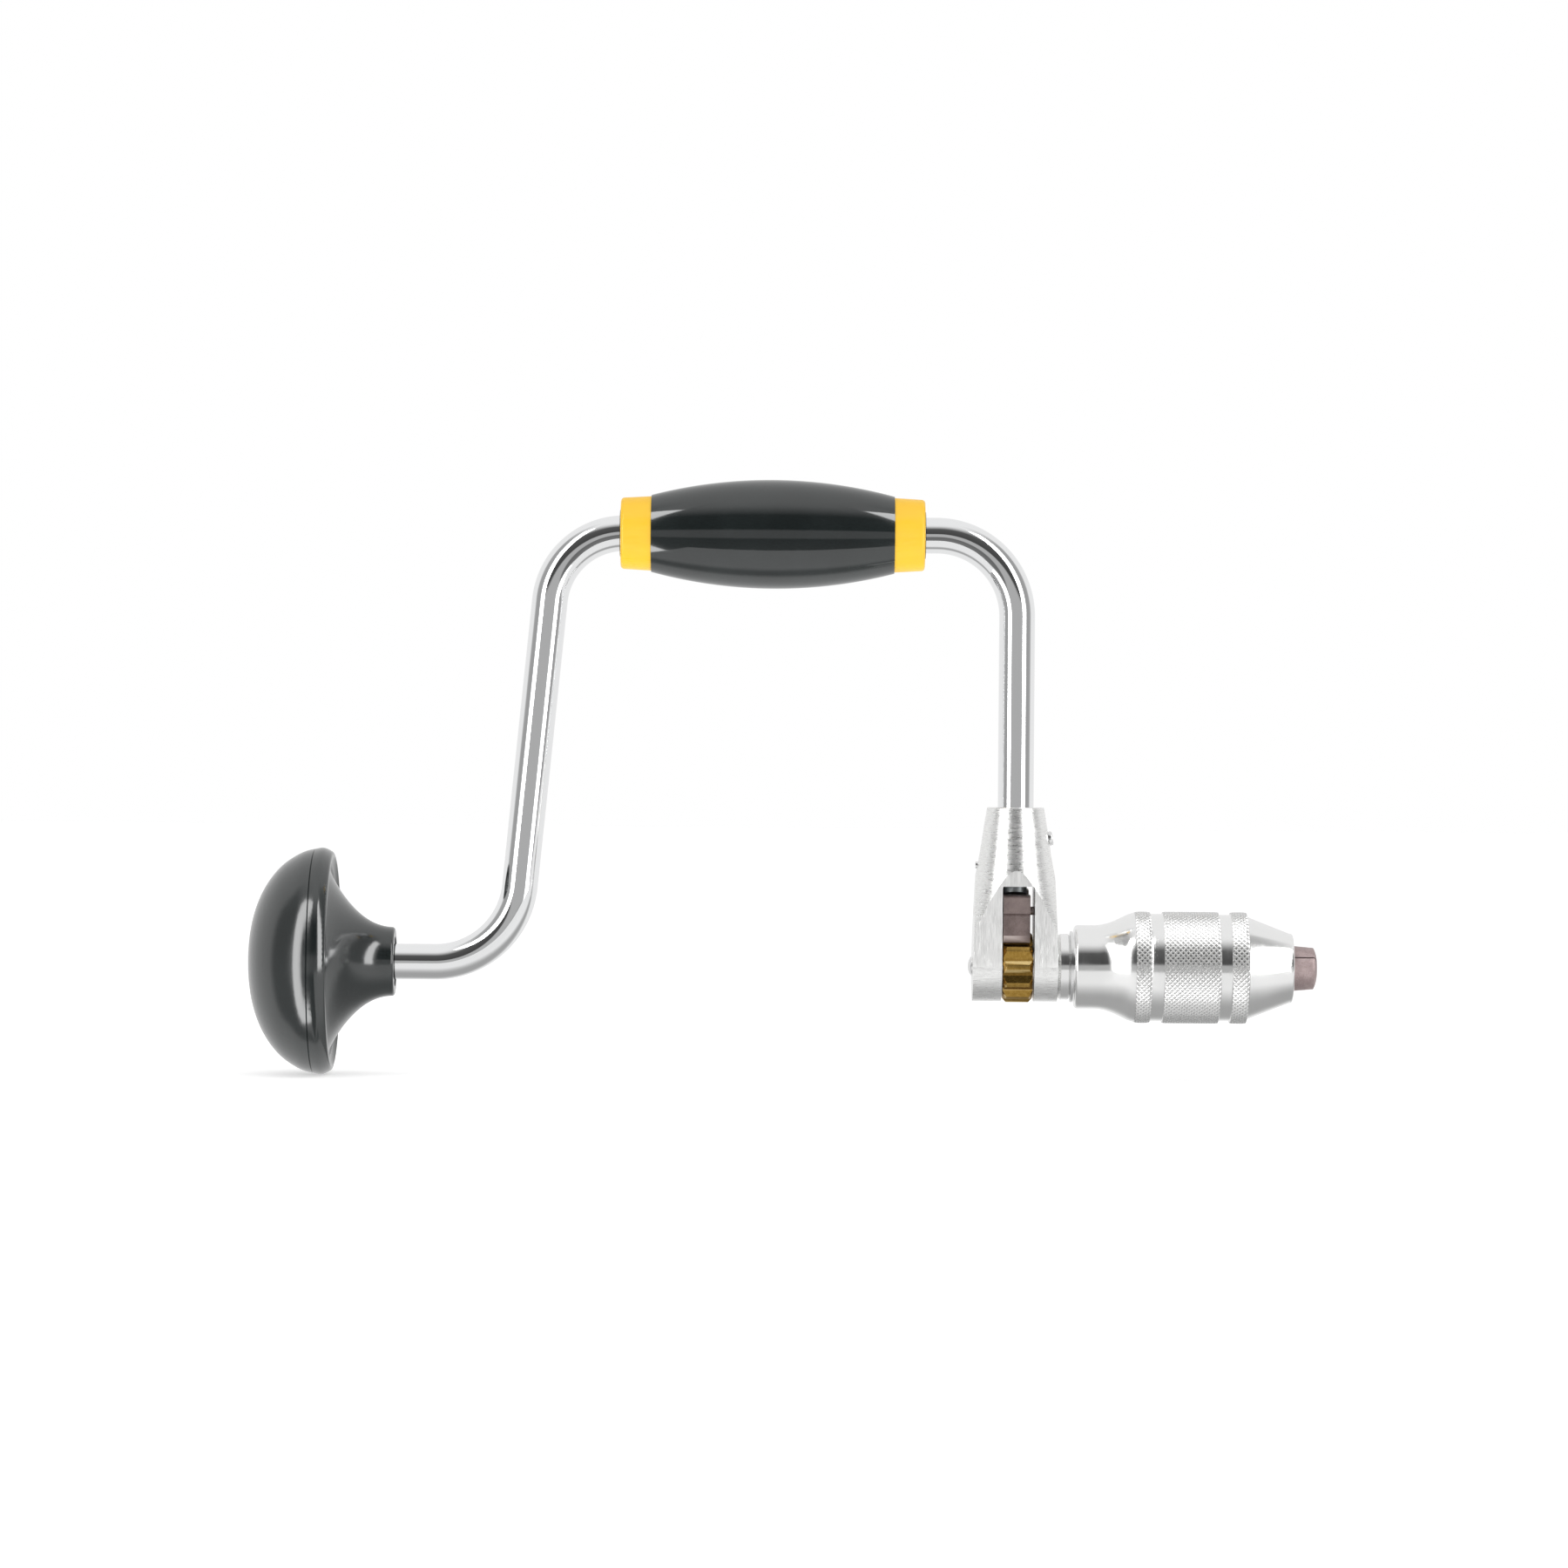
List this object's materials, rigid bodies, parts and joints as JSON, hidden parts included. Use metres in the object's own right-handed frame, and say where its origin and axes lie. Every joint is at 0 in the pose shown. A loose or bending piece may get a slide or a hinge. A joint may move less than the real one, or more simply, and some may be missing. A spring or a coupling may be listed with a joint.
{
  "type": "ratchet bit brace",
  "caption": "Hand-cranked bit brace: bent steel rod, spinning mushroom head and barrel grip, reversible ratchet and two-jaw screw chuck.",
  "frame": {"origin": "on the drive axis, in the plane of the jaw tips where a bit leaves the chuck", "axes": "+X along the drive axis, out of the chuck; +Z from the drive axis up to the grip; +Y completes the frame"},
  "size_m": [0.3783, 0.0804, 0.2119],
  "materials": {
    "bright_chrome": "bright, drawn rod",
    "bright_nickel": "bright, turned and knurled",
    "satin_nickel": "satin, finely ground",
    "screw_steel": "plated",
    "spring_steel": "oiled",
    "bearing_steel": "ground",
    "sintered_steel": "dark brown, fine grained, satin",
    "gold_plate": "yellow passivated, satin",
    "brass": "plain",
    "black_plastic": "gloss black",
    "yellow_plastic": "semi-gloss yellow",
    "nylon_bush": "matt"
  },
  "bodies": {
    "frame": {"crank_frame": "bright_chrome", "ratchet_yoke": "satin_nickel", "lock_screw": "screw_steel", "locating_dowel": "screw_steel", "pawl_pin": "sintered_steel", "detent_spring": "spring_steel", "rod_race": "bearing_steel", "head_circlip": "spring_steel"},
    "head": {"head_cap": "black_plastic", "head_body": "black_plastic", "head_bush": "bearing_steel", "pad_race": "bearing_steel"},
    "cage": {"bearing_cage": "brass", "thrust_balls": "bearing_steel"},
    "handle": {"grip": "black_plastic", "collar_left": "yellow_plastic", "collar_right": "yellow_plastic", "grip_bush_left": "nylon_bush", "grip_bush_right": "nylon_bush"},
    "spindle": {"chuck_spindle": "satin_nickel", "ratchet_wheel": "gold_plate", "wheel_pin": "bearing_steel", "spindle_screw": "screw_steel", "dust_ring": "screw_steel", "jaw_spring": "spring_steel"},
    "cup": {"jaw_cup": "bearing_steel"},
    "shell": {"chuck_shell": "bright_nickel"},
    "upper_jaw": {"jaw_upper": "sintered_steel"},
    "lower_jaw": {"jaw_lower": "sintered_steel"},
    "pawl": {"pawl_rocker": "sintered_steel"},
    "plunger": {"detent_plunger": "bearing_steel"}
  },
  "joints": [
    {"name": "head_spin", "type": "hinge", "parent": "frame", "child": "head", "pos_m": [-0.34, 0, 0], "axis": [1, 0, 0], "continuous": true},
    {"name": "cage_spin", "type": "hinge", "parent": "frame", "child": "cage", "pos_m": [-0.353, 0, 0], "axis": [1, 0, 0], "continuous": true},
    {"name": "handle_spin", "type": "hinge", "parent": "frame", "child": "handle", "pos_m": [-0.19375, 0, 0.1524], "axis": [1, 0, 0], "continuous": true},
    {"name": "chuck_spin", "type": "hinge", "parent": "frame", "child": "spindle", "pos_m": [-0.1061, 0, 0], "axis": [1, 0, 0], "continuous": true},
    {"name": "shell_advance", "type": "slide", "parent": "spindle", "child": "cup", "axis": [1, 0, 0], "range_m": [0, 0.0063]},
    {"name": "shell_turn", "type": "hinge", "parent": "cup", "child": "shell", "pos_m": [-0.045, 0, 0], "axis": [1, 0, 0], "range_deg": [0, 1080.1]},
    {"name": "upper_jaw_slide", "type": "slide", "parent": "spindle", "child": "upper_jaw", "axis": [0, 0.5446, 0.8387], "range_m": [0, 0.00172]},
    {"name": "lower_jaw_slide", "type": "slide", "parent": "spindle", "child": "lower_jaw", "axis": [0, -0.5446, -0.8387], "range_m": [0, 0.00172]},
    {"name": "pawl_rock", "type": "hinge", "parent": "frame", "child": "pawl", "pos_m": [-0.10665, 0, 0.0197], "axis": [1, 0, 0], "range_deg": [-13, 0]},
    {"name": "plunger_lift", "type": "slide", "parent": "frame", "child": "plunger", "axis": [0, 0, 1], "range_m": [0, 0.001], "stiffness_N_per_m": 900, "springref_m": -0.0015, "deforming": ["detent_spring"]}
  ],
  "couplings": [
    {"joint": "cage_spin", "follows": "head_spin", "ratio": 0.5},
    {"joint": "shell_turn", "follows": "shell_advance", "rad_per_m": 2992},
    {"joint": "upper_jaw_slide", "follows": "shell_advance", "ratio": 0.265},
    {"joint": "lower_jaw_slide", "follows": "shell_advance", "ratio": 0.265}
  ]
}
